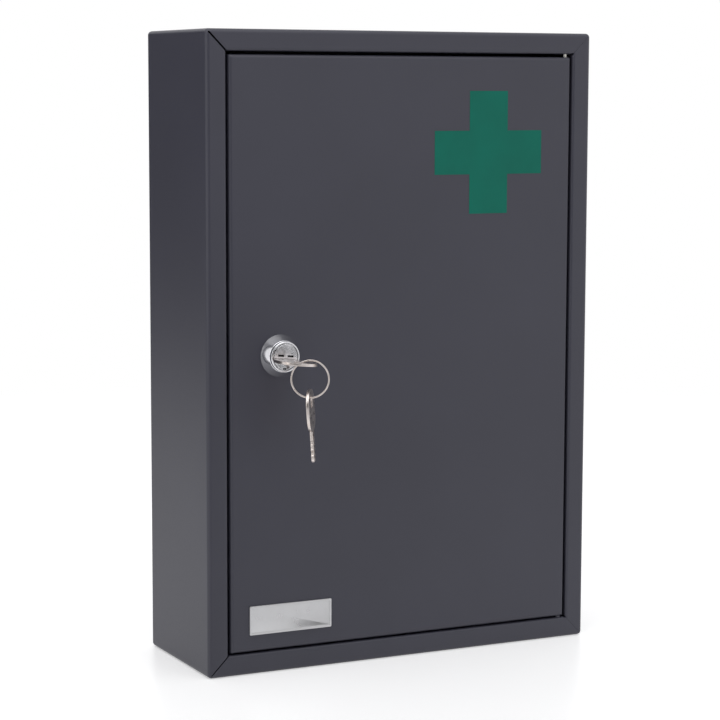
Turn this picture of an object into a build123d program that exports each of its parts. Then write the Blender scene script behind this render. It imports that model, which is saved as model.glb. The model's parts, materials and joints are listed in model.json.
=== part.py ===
from build123d import *
import math
import os

# Lockable wall cabinet for medicines: a folded steel box with one hinged, locking door.
# Millimetres. The origin is the middle of the base. +X is to the right as seen from the front,
# +Y goes back to the wall and +Z is up. The front strips and the shut door lie in one plane.

# ---------------------------------------------------------------- cabinet box
cabinet_width = 305.0
cabinet_depth = 110.0
cabinet_height = 450.0
sheet = 1.0                    # thickness of all folded steel sheet
bend_radius = 3.0              # outer radius of every visible bend
frame_strip = 15.0             # visible width of the front strips
return_depth = 14.0            # how far the strips' returns go in, from the front plane
mitre_gap_top = 1.3            # open seam between two mitred strips, top left
mitre_gap_bottom = 0.8         # the same at the bottom left
mitre_gap_hinge = 0.12         # the same at both corners on the hinge's side
relief_radius = 0.9            # bend relief at the inner corners of the frame
strip_bend = 2.2               # outer radius where the strips turn into the returns
wall_hole_radius = 3.25        # clearance for an M6 wall screw
wall_hole_spacing_x = 225.0
wall_hole_spacing_z = 350.0

# ---------------------------------------------------------------- door and hinge
door_gap_side = 1.75
door_gap_top = 2.25
door_gap_bottom = 1.25
door_flange_depth = 12.0       # depth of the door pan, from the front plane
door_corner_radius = 1.0       # corners of the door as seen from the front
door_bend = 2.5                # outer radius of the bends round the door's front face
hinge_inset_x = 5.0            # pin centre, in from the opening's right edge
hinge_inset_y = 3.5            # pin centre, behind the front plane
pin_radius = 1.4
pin_clearance = 0.05           # running clearance of the pins in their bushes
pin_head_radius = 2.2
pin_head_height = 1.5
pin_end_gap = 0.5              # the bush stands this much past the pin's end
bush_wall = 0.65
bush_length = 6.0
bush_chamfer = 0.6
washer_radius = 2.1

# ---------------------------------------------------------------- door stops
stop_height = 20.0
stop_reach = 12.0              # how far a tab reaches into the door opening
stop_inset_z = 45.0            # middle of a tab, from the top or bottom of the opening
bumper_radius = 4.0
bumper_thickness = 2.0

# ---------------------------------------------------------------- lock
lock_inset_x = 37.75           # lock centre, in from the door's left edge
lock_rise = 208.75             # lock centre above the door's bottom edge
key_turn = 6.0                 # degrees the plug is turned from its unlocked stop
collar_base_radius = 15.3
collar_top_radius = 11.0
collar_height = 7.5
collar_tip_round = 0.5         # rounding at the collar's front rim
collar_foot_round = 0.5        # rounding where the collar meets the door
head_radius = 10.9
head_thickness = 2.5
head_round = 0.9
barrel_radius = 9.4
barrel_flat = 8.3              # half distance over the two flats
barrel_fit = 0.1               # clearance round the barrel in its hole, collar, washer and nut
plug_face_radius = 8.9
plug_face_gap = 0.4            # open groove between the plug's face and the head
plug_face_thickness = 1.9
plug_face_round = 0.3
plug_radius = 6.45
plug_clearance = 0.08
plug_end_gap = 0.05
tail_half = 3.5                # half width of the plug's square tail
lock_washer_radius = 13.0
lock_nut_flats = 24.0
lock_nut_corner = 12.6         # radius to which the nut's six corners are turned down
lock_nut_thickness = 4.0
stop_washer_radius = 8.8
stop_washer_thickness = 0.8
stop_notch_depth = 1.5
stop_tooth_angle = 14.0        # degrees
stop_tooth_gap = 0.15          # between the tooth's inner face and the bottom of the notch
stop_play = 1.0                # degrees left free at each stop
turn_range = 90.0              # degrees between the unlocked and the locked stop
cam_gap = 1.0                  # cam's front face behind the frame's return
cam_thickness = 2.0
cam_reach = 48.0
cam_width = 14.0
cam_root_radius = 8.6
cam_screw_radius = 1.6
cam_screw_length = 8.0
cam_screw_head_radius = 3.8
cam_screw_head_height = 2.2
cam_screw_head_round = 0.8
screw_slot_length = 5.0
screw_slot_width = 0.9
screw_slot_depth = 1.2
cam_washer_radius = 4.6
cam_washer_thickness = 0.7
notch_width = 2.4              # index notch at the rim of the plug's face
dimple_radius = 1.4            # round boss in the shallow slit above the keyway
slit_width = 11.8
slit_height = 1.4
slit_depth = 1.3

# ---------------------------------------------------------------- keys and ring
blade_width = 8.0
blade_length = 21.0
key_thickness = 2.0
key_fit = 0.15                 # clearance round the blade in plug and wafers
keyway_drop = 2.2              # keyway below the plug's axis
bow_width = 28.0
bow_length = 29.0
bow_corner_radius = 11.0
bow_standoff = 2.1             # bow in front of the plug's face
bow_hole_radius = 4.25
bow_rim = 4.3
tip_slant = 1.4
groove_width = 1.2
groove_depth = 0.5
groove_offset = 1.0            # groove beside the blade's middle line
groove_start = 1.0             # from the bow to the groove's end
bitting = (0.9, 0.5, 1.2, 0.7)  # depths of the cuts, from the bow to the tip
bitting_flat = 1.0             # flat bottom of each cut
last_cut = 2.7                 # from the tip to the middle of the last cut
wafer_pitch = 3.6
wafer_thickness = 1.0
wafer_height = 7.0
wafer_rim = 1.2                # wafer's material below its window
wafer_fit = 0.1
wafer_groove_margin = 1.5      # housing left solid before and after the wafers' grooves
spring_inset = 1.6             # spring's end, left of the plug's axis
spring_radius = 0.6
spring_bore = 0.35
spring_length = 5.0
ring_wire = 1.2                # diameter of the split ring's wire
ring_outer = 27.0
ring_turn_gap = 0.45           # open space between the ring's two turns
ring_jog = 60.0                # degrees over which the wire crosses from turn to turn
ring_yaw = 27.0                # the ring's plane is turned this much from the door's plane
ring_drop = 9.8                # ring centre below the middle of the bow's rim
ring_shift = 7.5               # ring centre beside the bow's hole
spare_yaw = 6.0                # the spare key's plate is turned this much from square to the ring
spare_lean = 3.5               # degrees
spare_gap = 0.8                # between the ring's wire and the rim that hangs on it

# ---------------------------------------------------------------- plate, cross and shelves
plate_width = 63.5
plate_height = 20.7
plate_thickness = 1.2
plate_border = 1.6
plate_relief = 0.5
plate_inset_x = 14.0           # from the door's left edge
plate_inset_z = 12.0           # from the door's bottom edge
plate_corner = 0.8
cross_size = 88.0
cross_arm = 31.3
cross_inset = 24.5             # from the door's right and top edges
cross_thickness = 0.15
shelf_gap = 1.5                # between a shelf and each side wall
shelf_front = 22.0             # shelf's front edge, behind the front plane
shelf_back_gap = 1.5
shelf_lip = 12.0
lower_shelf_height = 150.0
upper_shelf_height = 295.0
bracket_leg = 10.0
bracket_length = 66.0

# ---------------------------------------------------------------- derived places
front = -cabinet_depth / 2
back = cabinet_depth / 2
open_half = cabinet_width / 2 - frame_strip
open_bottom = frame_strip
open_top = cabinet_height - frame_strip
door_half = open_half - door_gap_side
door_bottom = open_bottom + door_gap_bottom
door_top = open_top - door_gap_top
door_height = door_top - door_bottom
hinge_x = open_half - hinge_inset_x
hinge_y = front + hinge_inset_y
bush_radius = pin_radius + pin_clearance + bush_wall
lock_x = -door_half + lock_inset_x
lock_z = door_bottom + lock_rise
head_back = front - collar_height
head_front = head_back - head_thickness
cam_front = front + return_depth + cam_gap
cam_back = cam_front + cam_thickness
stop_washer_front = cam_front - stop_washer_thickness
barrel_end = stop_washer_front - plug_end_gap
face_front = head_front + plug_end_gap
face_back = face_front + plug_face_thickness
bow_front = face_front - bow_standoff
key_half = key_thickness / 2
blade_end = bow_front + blade_length
ring_radius = (ring_outer - ring_wire) / 2
wafer_low = -keyway_drop - key_half - key_fit - wafer_rim
keyway_width = blade_width + 2 * key_fit
keyway_height = key_thickness + 2 * key_fit
tail_hole = 2 * (tail_half + barrel_fit)
notch_inner = stop_washer_radius - stop_notch_depth
OVER = 1.0                     # extra length of a cutting solid past the face it cuts


def lock_plane(y):
    """Plane square to the lock's axis at depth y, seen from the front, not turned with the plug."""
    return Plane(origin=(lock_x, y, lock_z), x_dir=(1, 0, 0), z_dir=(0, -1, 0))


def plug_plane(y):
    """The same plane turned clockwise with the plug."""
    turn = math.radians(key_turn)
    return Plane(
        origin=(lock_x, y, lock_z), x_dir=(math.cos(turn), 0, -math.sin(turn)), z_dir=(0, -1, 0)
    )


def cut_place(index):
    """Distance of a bitting cut's middle from the bow's blade end."""
    return blade_length - last_cut - (len(bitting) - 1 - index) * wafer_pitch


def bar(x0, x1, y0, y1, z0, z1):
    """Square-edged block between two corners, as a separate solid."""
    with BuildPart() as block:
        with Locations(((x0 + x1) / 2, (y0 + y1) / 2, (z0 + z1) / 2)):
            Box(x1 - x0, y1 - y0, z1 - z0)
    return block.part


# ================================================================ cabinet box
with BuildPart() as cavity:
    with Locations((0, 0, cabinet_height / 2)):
        Box(cabinet_width - 2 * sheet, cabinet_depth - 2 * sheet, cabinet_height - 2 * sheet)
    fillet(cavity.edges(), bend_radius - sheet)

# The whole folded box, before its mitred seams divide it into three sheets. The return ring
# begins halfway into the front sheet, so its outer bend is rounded together with the opening.
with BuildPart() as folded_box:
    with Locations((0, 0, cabinet_height / 2)):
        Box(cabinet_width, cabinet_depth, cabinet_height)
    fillet(folded_box.edges(), bend_radius)
    add(cavity.part, mode=Mode.SUBTRACT)
    add(
        bar(-open_half - sheet, open_half + sheet, front + sheet / 2, front + return_depth,
            open_bottom - sheet, open_top + sheet)
    )
    with BuildSketch(Plane.XZ.offset(-front)):
        with Locations((0, (open_bottom + open_top) / 2)):
            Rectangle(2 * open_half, open_top - open_bottom)
    extrude(amount=-return_depth - OVER, mode=Mode.SUBTRACT)
    opening_edges = folded_box.faces().sort_by(Axis.Y)[0].inner_wires()[0].edges()
    fillet(opening_edges, strip_bend)
    # mitre seams and bend reliefs at the four corners of the frame
    seam_length = math.sqrt(2) * (frame_strip - 2 * sheet)
    for side_x in (-1, 1):
        for side_z in (-1, 1):
            corner_z = (open_bottom + open_top) / 2 + side_z * (open_top - open_bottom) / 2
            seam_gap = mitre_gap_top if side_z > 0 else mitre_gap_bottom
            if side_x > 0:
                seam_gap = mitre_gap_hinge
            seam = Plane(
                origin=(side_x * open_half, front, corner_z),
                x_dir=(side_x, 0, side_z),
                z_dir=(0, -1, 0),
            )
            with BuildSketch(seam):
                Rectangle(seam_length, seam_gap, align=(Align.MIN, Align.CENTER))
                Circle(relief_radius)
            extrude(amount=-return_depth - OVER, mode=Mode.SUBTRACT)


def cap_wedge(outer_z, inner_z):
    """Region that belongs to the top or bottom sheet: it narrows at 45 degrees to the inside."""
    half = cabinet_width / 2
    with BuildPart() as wedge:
        with BuildSketch(Plane.XZ.offset(-front)):
            with BuildLine():
                Polyline(
                    (-half, outer_z), (half, outer_z), (open_half, inner_z), (-open_half, inner_z),
                    close=True,
                )
            make_face()
        extrude(amount=-cabinet_depth)
        with BuildSketch(Plane.YZ):
            with BuildLine():
                Polyline(
                    (front, outer_z), (back, outer_z), (back - frame_strip, inner_z),
                    (front, inner_z), close=True,
                )
            make_face()
        extrude(amount=half, both=True, mode=Mode.INTERSECT)
    return wedge.part


top_wedge = cap_wedge(cabinet_height, open_top)
bottom_wedge = cap_wedge(0, open_bottom)

with BuildPart() as body_shell:
    add(folded_box.part)
    add(top_wedge, mode=Mode.SUBTRACT)
    add(bottom_wedge, mode=Mode.SUBTRACT)
    with BuildSketch(Plane.XZ.offset(-back)):
        with Locations((0, cabinet_height / 2)):
            with GridLocations(wall_hole_spacing_x, wall_hole_spacing_z, 2, 2):
                Circle(wall_hole_radius)
    extrude(amount=sheet, mode=Mode.SUBTRACT)

with BuildPart() as top_panel:
    add(folded_box.part)
    add(top_wedge, mode=Mode.INTERSECT)
    with BuildSketch(Plane.XY.offset(open_top)):
        with Locations((hinge_x, hinge_y)):
            Circle(pin_radius)
    extrude(amount=sheet, mode=Mode.SUBTRACT)

with BuildPart() as bottom_panel:
    add(folded_box.part)
    add(bottom_wedge, mode=Mode.INTERSECT)
    with BuildSketch(Plane.XY.offset(open_bottom)):
        with Locations((hinge_x, hinge_y)):
            Circle(pin_radius)
    extrude(amount=-sheet, mode=Mode.SUBTRACT)

# ================================================================ door pan
with BuildPart() as pan_hollow:
    with BuildSketch(Plane.XZ.offset(-front - sheet)):
        with Locations((0, (door_bottom + door_top) / 2)):
            Rectangle(2 * (door_half - sheet), door_height - 2 * sheet)
    extrude(amount=-door_flange_depth)
    fillet(pan_hollow.faces().sort_by(Axis.Y)[0].edges(), door_bend - sheet)

with BuildPart() as door_panel:
    with BuildSketch(Plane.XZ.offset(-front)):
        with Locations((0, (door_bottom + door_top) / 2)):
            RectangleRounded(2 * door_half, door_height, door_corner_radius)
    extrude(amount=-door_flange_depth)
    fillet(door_panel.faces().sort_by(Axis.Y)[0].edges(), door_bend)
    add(pan_hollow.part, mode=Mode.SUBTRACT)
    # hinge holes through the top and bottom flanges
    with BuildSketch(Plane.XY.offset(door_bottom)):
        with Locations((hinge_x, hinge_y)):
            Circle(pin_radius + pin_clearance)
    extrude(amount=door_height, mode=Mode.SUBTRACT)
    # lock hole with two flats
    with BuildSketch(lock_plane(front)):
        Circle(barrel_radius + barrel_fit)
        Rectangle(
            2 * (barrel_radius + barrel_fit), 2 * (barrel_flat + barrel_fit), mode=Mode.INTERSECT
        )
    extrude(amount=-sheet - OVER, mode=Mode.SUBTRACT)


def hinge_bush(flange_inner, direction):
    """Bush under a door flange; direction is -1 below the top flange and 1 above the bottom one."""
    seat = Plane(origin=(hinge_x, hinge_y, flange_inner), z_dir=(0, 0, direction))
    with BuildPart() as bush:
        with BuildSketch(seat):
            Circle(bush_radius)
            Circle(pin_radius + pin_clearance, mode=Mode.SUBTRACT)
        extrude(amount=bush_length)
        seat_rim = bush.edges().filter_by(GeomType.CIRCLE).filter_by(
            lambda edge: abs(edge.center().Z - flange_inner) < sheet / 10
            and edge.radius > pin_radius + 2 * pin_clearance
        )
        chamfer(seat_rim, bush_chamfer)
    return bush.part


with BuildPart() as door_hinge_bushes:
    add(hinge_bush(door_top - sheet, -1))
    add(hinge_bush(door_bottom + sheet, 1))


def hinge_pin(return_far, flange_inner, direction):
    """Headed pin: the head sits behind the frame's return, the end stops inside the bush."""
    seat = Plane(origin=(hinge_x, hinge_y, return_far), z_dir=(0, 0, direction))
    length = abs(flange_inner - return_far) + bush_length - pin_end_gap
    with BuildPart() as pin:
        with BuildSketch(seat):
            Circle(pin_radius)
        extrude(amount=length)
        pin_end = pin.faces().sort_by(Axis.Z)[0 if direction < 0 else -1]
        chamfer(pin_end.edges(), pin_end_gap / 2)
        with BuildSketch(seat):
            Circle(pin_head_radius)
        extrude(amount=-pin_head_height)
    return pin.part


with BuildPart() as hinge_pin_top:
    add(hinge_pin(open_top + sheet, door_top - sheet, -1))

with BuildPart() as hinge_pin_bottom:
    add(hinge_pin(open_bottom - sheet, door_bottom + sheet, 1))

with BuildPart() as hinge_washer:
    with BuildSketch(Plane.XY.offset(open_bottom)):
        with Locations((hinge_x, hinge_y)):
            Circle(washer_radius)
            Circle(pin_radius + 2 * pin_clearance, mode=Mode.SUBTRACT)
    extrude(amount=door_gap_bottom)

# ================================================================ door stops
tab_front = front + door_flange_depth + bumper_thickness
stop_levels = (open_bottom + stop_inset_z, open_top - stop_inset_z)
bumper_x = -open_half + stop_reach / 2 - sheet

with BuildPart() as door_stops:
    for level in stop_levels:
        low = level - stop_height / 2
        high = level + stop_height / 2
        outer = -open_half - 2 * sheet
        add(bar(outer, outer + sheet, front + bend_radius, tab_front + sheet, low, high))
        add(bar(outer, -open_half + stop_reach, tab_front, tab_front + sheet, low, high))

with BuildPart() as door_bumpers:
    for level in stop_levels:
        with BuildSketch(Plane.XZ.offset(-tab_front)):
            with Locations((bumper_x, level)):
                Circle(bumper_radius)
        extrude(amount=bumper_thickness)

# ================================================================ lock
with BuildPart() as lock_collar:
    with BuildSketch(lock_plane(front)):
        Circle(collar_base_radius)
    with BuildSketch(lock_plane(front - collar_height)):
        Circle(collar_top_radius)
    loft()
    with BuildSketch(lock_plane(front)):
        Circle(barrel_radius + barrel_fit)
    extrude(amount=collar_height, mode=Mode.SUBTRACT)
    rims = lock_collar.edges().filter_by(GeomType.CIRCLE).filter_by(
        lambda edge: edge.radius > barrel_radius + 2 * barrel_fit
    )
    fillet(rims.sort_by(Axis.Y)[0], collar_tip_round)
    fillet(rims.sort_by(Axis.Y)[-1], collar_foot_round)

with BuildPart() as lock_housing:
    with BuildSketch(lock_plane(head_back)):
        Circle(head_radius)
    extrude(amount=head_thickness)
    fillet(lock_housing.faces().sort_by(Axis.Y)[0].edges(), head_round)
    with BuildSketch(lock_plane(head_back)):
        Circle(barrel_radius)
        Rectangle(2 * barrel_radius, 2 * barrel_flat, mode=Mode.INTERSECT)
    extrude(amount=head_back - barrel_end)
    # seat for the plug's face, then the long bore
    with BuildSketch(lock_plane(head_front)):
        Circle(plug_face_radius + plug_face_gap)
    extrude(amount=head_front - face_back - plug_end_gap, mode=Mode.SUBTRACT)
    with BuildSketch(lock_plane(face_back)):
        Circle(plug_radius + plug_clearance)
    extrude(amount=face_back - barrel_end - OVER, mode=Mode.SUBTRACT)
    # grooves that catch the wafers when the key is out
    with BuildSketch(plug_plane(face_back + wafer_groove_margin)):
        with Locations((0, wafer_low + wafer_height / 2)):
            Rectangle(2 * (barrel_flat - wafer_fit), wafer_height)
    extrude(amount=face_back + 2 * wafer_groove_margin - barrel_end, mode=Mode.SUBTRACT)
    # tooth that the stop washer turns against
    tooth_half = math.tan(math.radians(stop_tooth_angle / 2)) * notch_inner
    with BuildSketch(lock_plane(barrel_end)):
        with Locations((0, notch_inner + stop_tooth_gap)):
            Rectangle(2 * tooth_half, stop_notch_depth, align=(Align.CENTER, Align.MIN))
        Circle(barrel_flat, mode=Mode.INTERSECT)
    extrude(amount=-stop_washer_thickness)

with BuildPart() as lock_washer:
    with BuildSketch(lock_plane(front + sheet)):
        Circle(lock_washer_radius)
        Circle(barrel_radius + barrel_fit, mode=Mode.SUBTRACT)
    extrude(amount=-sheet)

with BuildPart() as lock_nut:
    with BuildSketch(lock_plane(front + 2 * sheet)):
        RegularPolygon(lock_nut_flats / 2, 6, major_radius=False)
    extrude(amount=-lock_nut_thickness)
    with BuildSketch(lock_plane(front + 2 * sheet)):
        Circle(lock_nut_corner)
    extrude(amount=-lock_nut_thickness, mode=Mode.INTERSECT)
    with BuildSketch(lock_plane(front)):
        Circle(barrel_radius + barrel_fit)
    extrude(amount=-lock_nut_thickness - 3 * sheet, mode=Mode.SUBTRACT)

# Wafers stand square to the blade, one for each cut in it.
wafer_ys = [bow_front + cut_place(i) for i in range(len(bitting))]
spring_v = wafer_low + wafer_height + spring_radius + wafer_fit

with BuildPart() as lock_plug:
    with BuildSketch(plug_plane(face_back)):
        Circle(plug_face_radius)
    extrude(amount=plug_face_thickness)
    fillet(lock_plug.faces().sort_by(Axis.Y)[0].edges(), plug_face_round)
    with BuildSketch(plug_plane(face_back)):
        Circle(plug_radius)
    extrude(amount=face_back - barrel_end)
    with BuildSketch(plug_plane(barrel_end)):
        Rectangle(2 * tail_half, 2 * tail_half)
        Circle(plug_radius - 2 * plug_clearance, mode=Mode.INTERSECT)
    extrude(amount=barrel_end - cam_back + plug_end_gap)
    # keyway
    with BuildSketch(plug_plane(face_front)):
        with Locations((0, -keyway_drop)):
            Rectangle(keyway_width, keyway_height)
    extrude(amount=face_front - blade_end - key_half, mode=Mode.SUBTRACT)
    # shallow slit with a round boss, and the index notch at the rim
    with BuildSketch(plug_plane(face_front)):
        with Locations((0, slit_height / 2)):
            Rectangle(slit_width, slit_height)
            Circle(dimple_radius, mode=Mode.SUBTRACT)
        with Locations((0, -plug_face_radius)):
            Rectangle(notch_width, notch_width)
    extrude(amount=-slit_depth, mode=Mode.SUBTRACT)
    # slots for the wafers and pockets for their springs
    for wafer_y in wafer_ys:
        with BuildSketch(plug_plane(wafer_y - wafer_thickness / 2 - wafer_fit)):
            with Locations((0, wafer_low + wafer_height / 2)):
                Rectangle(2 * plug_radius + OVER, wafer_height + 2 * wafer_fit)
        extrude(amount=-wafer_thickness - 2 * wafer_fit, mode=Mode.SUBTRACT)
        pocket = Plane(
            origin=plug_plane(wafer_y).from_local_coords((-spring_inset, spring_v, 0)),
            z_dir=plug_plane(wafer_y).x_dir,
        )
        with BuildSketch(pocket):
            Circle(spring_radius + wafer_fit)
        extrude(amount=2 * plug_radius, mode=Mode.SUBTRACT)
    # thread hole for the cam's screw
    with BuildSketch(plug_plane(cam_back)):
        Circle(cam_screw_radius + pin_clearance)
    extrude(amount=cam_screw_length - cam_washer_thickness + pin_clearance, mode=Mode.SUBTRACT)

with BuildPart() as lock_wafers:
    for wafer_y in wafer_ys:
        with BuildSketch(plug_plane(wafer_y - wafer_thickness / 2)):
            with Locations((0, wafer_low + wafer_height / 2)):
                Rectangle(2 * plug_radius, wafer_height)
            Circle(plug_radius - wafer_fit, mode=Mode.INTERSECT)
            with Locations((0, -keyway_drop)):
                Rectangle(keyway_width, keyway_height, mode=Mode.SUBTRACT)
        extrude(amount=-wafer_thickness)

with BuildPart() as wafer_springs:
    for wafer_y in wafer_ys:
        spring_seat = Plane(
            origin=plug_plane(wafer_y).from_local_coords((wafer_fit - spring_inset, spring_v, 0)),
            z_dir=plug_plane(wafer_y).x_dir,
        )
        with BuildSketch(spring_seat):
            Circle(spring_radius)
            Circle(spring_bore, mode=Mode.SUBTRACT)
        extrude(amount=spring_length)


with BuildPart() as cam_stop_washer:
    notch_start = 90.0 - stop_tooth_angle / 2 - stop_play
    notch_sweep = turn_range + stop_tooth_angle + 2 * stop_play
    with BuildSketch(plug_plane(stop_washer_front)):
        Circle(stop_washer_radius)
        with BuildLine():
            inner_arc = CenterArc((0, 0), notch_inner, notch_start, notch_sweep)
            outer_arc = CenterArc((0, 0), stop_washer_radius + OVER, notch_start, notch_sweep)
            Line(inner_arc @ 0, outer_arc @ 0)
            Line(inner_arc @ 1, outer_arc @ 1)
        make_face(mode=Mode.SUBTRACT)
        Rectangle(tail_hole, tail_hole, mode=Mode.SUBTRACT)
    extrude(amount=-stop_washer_thickness)

with BuildPart() as lock_cam:
    with BuildSketch(plug_plane(cam_front)):
        Circle(cam_root_radius)
        arm_length = cam_reach - cam_width / 2
        with Locations((0, -arm_length / 2)):
            Rectangle(cam_width, arm_length)
        with Locations((0, -arm_length)):
            Circle(cam_width / 2)
        Rectangle(tail_hole, tail_hole, mode=Mode.SUBTRACT)
    extrude(amount=-cam_thickness)

with BuildPart() as cam_lock_washer:
    with BuildSketch(plug_plane(cam_back)):
        Circle(cam_washer_radius)
        Circle(cam_screw_radius + barrel_fit, mode=Mode.SUBTRACT)
    extrude(amount=-cam_washer_thickness)

with BuildPart() as cam_screw:
    head_seat = cam_back + cam_washer_thickness
    with BuildSketch(plug_plane(head_seat)):
        Circle(cam_screw_head_radius)
    extrude(amount=-cam_screw_head_height)
    fillet(cam_screw.faces().sort_by(Axis.Y)[-1].edges(), cam_screw_head_round)
    with BuildSketch(plug_plane(head_seat)):
        Circle(cam_screw_radius)
    extrude(amount=cam_screw_length)
    with BuildSketch(plug_plane(head_seat + cam_screw_head_height)):
        Rectangle(screw_slot_length, screw_slot_width)
        Rectangle(screw_slot_width, screw_slot_length)
    extrude(amount=screw_slot_depth, mode=Mode.SUBTRACT)


# ================================================================ keys
def cut_key(plane):
    """Flat key; the plane's origin is the middle of the bow's blade end, +y runs to the tip."""
    with BuildPart() as blank:
        with BuildSketch(plane):
            with Locations((0, -bow_length / 2)):
                RectangleRounded(bow_width, bow_length, bow_corner_radius)
            with Locations((0, blade_length)):
                Rectangle(
                    blade_width, blade_length + bow_corner_radius / 2,
                    align=(Align.CENTER, Align.MAX),
                )
            with Locations((0, -bow_length + bow_rim + bow_hole_radius)):
                Circle(bow_hole_radius, mode=Mode.SUBTRACT)
            # bitting on both edges of the blade
            for i, depth in enumerate(bitting):
                cut_start = cut_place(i) - bitting_flat / 2
                cut_end = cut_start + bitting_flat
                for side in (-1, 1):
                    edge_x = side * blade_width / 2
                    with BuildLine():
                        Polyline(
                            (edge_x, cut_start - depth),
                            (edge_x - side * depth, cut_start),
                            (edge_x - side * depth, cut_end),
                            (edge_x, cut_end + depth),
                            close=True,
                        )
                    make_face(mode=Mode.SUBTRACT)
            # slanted corners at the tip
            for side in (-1, 1):
                edge_x = side * blade_width / 2
                with BuildLine():
                    Polyline(
                        (edge_x, blade_length - tip_slant),
                        (edge_x - side * tip_slant, blade_length),
                        (edge_x, blade_length),
                        close=True,
                    )
                make_face(mode=Mode.SUBTRACT)
        extrude(amount=key_half, both=True)
        # one long groove in each face of the blade
        for face in (-1, 1):
            groove = plane.offset(face * key_half)
            with BuildSketch(groove):
                with Locations((face * groove_offset, groove_start)):
                    Rectangle(groove_width, blade_length, align=(Align.CENTER, Align.MIN))
            extrude(amount=-face * groove_depth, mode=Mode.SUBTRACT)
    return blank.part


bow_edge = plug_plane(bow_front)
lock_key_plane = Plane(
    origin=bow_edge.from_local_coords((0, -keyway_drop, 0)),
    x_dir=bow_edge.x_dir,
    z_dir=bow_edge.y_dir,
)

with BuildPart() as key_in_lock:
    add(cut_key(lock_key_plane))

# ================================================================ split ring
bow_hole_y = -bow_length + bow_rim + bow_hole_radius
bow_hole = lock_key_plane.from_local_coords((0, bow_hole_y, 0))
ring_dir = Vector(math.cos(math.radians(ring_yaw)), -math.sin(math.radians(ring_yaw)), 0)
ring_normal = Vector(-math.sin(math.radians(ring_yaw)), -math.cos(math.radians(ring_yaw)), 0)
rim_fall = math.tan(math.radians(key_turn)) * ring_shift * ring_dir.X
ring_centre = bow_hole + ring_dir * ring_shift - Vector(0, 0, rim_fall + ring_drop)
ring_plane = Plane(origin=ring_centre, x_dir=ring_dir, z_dir=ring_normal)
ring_pitch = ring_wire + ring_turn_gap


def ring_point(angle, layer):
    """Point on the wire's middle line; layer is -1 or 1 for the back or the front turn."""
    turn = math.radians(angle)
    local = (ring_radius * math.cos(turn), ring_radius * math.sin(turn), layer * ring_pitch / 2)
    return ring_plane.from_local_coords(local)


def ring_tangent(angle):
    """Direction of the wire at an angle round the ring."""
    turn = math.radians(angle)
    return ring_plane.x_dir * -math.sin(turn) + ring_plane.y_dir * math.cos(turn)


def biarc_joint(start, start_dir, end, end_dir):
    """Point where two tangent arcs meet that join two points with given directions."""
    chord = end - start
    both = start_dir + end_dir
    spread = 2 * (1 - start_dir.dot(end_dir))
    along = chord.dot(both)
    reach = (-along + math.sqrt(along**2 + spread * chord.dot(chord))) / spread
    return (start + end + (start_dir - end_dir) * reach) * 0.5


jog_start = 90.0 - ring_jog / 2
flat_sweep = 360.0 - ring_jog
flat_steps = 4
stations = [(jog_start - flat_sweep + flat_sweep * i / flat_steps, -1) for i in range(flat_steps + 1)]
stations += [(jog_start + ring_jog + flat_sweep * i / flat_steps, 1) for i in range(flat_steps + 1)]

with BuildPart() as key_ring:
    with BuildLine() as ring_path:
        for (angle_a, layer_a), (angle_b, layer_b) in zip(stations, stations[1:]):
            point_a = ring_point(angle_a, layer_a)
            point_b = ring_point(angle_b, layer_b)
            joint = biarc_joint(point_a, ring_tangent(angle_a), point_b, ring_tangent(angle_b))
            first = TangentArc(point_a, joint, tangent=ring_tangent(angle_a))
            TangentArc(joint, point_b, tangent=first % 1)
    with BuildSketch(Plane(origin=ring_path.line @ 0, z_dir=ring_path.line % 0)):
        Circle(ring_wire / 2)
    sweep()

turn_gap = (ring_point(0, 1) - ring_point(0, -1)).length - ring_wire
print(f"split ring: least gap between its turns {turn_gap:.2f} mm")

# ================================================================ spare key
ring_bottom = ring_centre - Vector(0, 0, ring_radius)
hang_z = ring_bottom.Z + ring_wire / 2 + spare_gap
spare_normal = ring_dir.rotate(Axis.Z, -spare_yaw)
spare_across = Vector(0, 0, 1).cross(spare_normal)
spare_hole = Vector(ring_bottom.X, ring_bottom.Y, hang_z - bow_hole_radius)
lean = math.radians(spare_lean)
spare_down = Vector(0, 0, -math.cos(lean)) + spare_normal * math.sin(lean)
spare_plane = Plane(
    origin=spare_hole + spare_down * -bow_hole_y,
    x_dir=spare_across,
    z_dir=spare_across.cross(spare_down),
)

with BuildPart() as spare_key:
    add(cut_key(spare_plane))

# ================================================================ nameplate and cross
plate_centre = (
    -door_half + plate_inset_x + plate_width / 2, door_bottom + plate_inset_z + plate_height / 2
)

with BuildPart() as nameplate:
    with BuildSketch(Plane.XZ.offset(-front)):
        with Locations(plate_centre):
            RectangleRounded(plate_width, plate_height, plate_corner)
    extrude(amount=plate_thickness)
    chamfer(nameplate.faces().sort_by(Axis.Y)[0].edges(), plate_relief)
    with BuildSketch(Plane.XZ.offset(-front + plate_thickness)):
        with Locations(plate_centre):
            Rectangle(plate_width - 2 * plate_border, plate_height - 2 * plate_border)
    extrude(amount=-plate_relief, mode=Mode.SUBTRACT)

with BuildPart() as cross_decal:
    cross_middle = cross_inset + cross_size / 2
    with BuildSketch(Plane.XZ.offset(-front)):
        with Locations((door_half - cross_middle, door_top - cross_middle)):
            Rectangle(cross_size, cross_arm)
            Rectangle(cross_arm, cross_size)
    extrude(amount=cross_thickness)

# ================================================================ shelves
shelf_half = cabinet_width / 2 - sheet - shelf_gap
shelf_y0 = front + shelf_front
shelf_y1 = back - sheet - shelf_back_gap
shelf_levels = (lower_shelf_height, upper_shelf_height)


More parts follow.
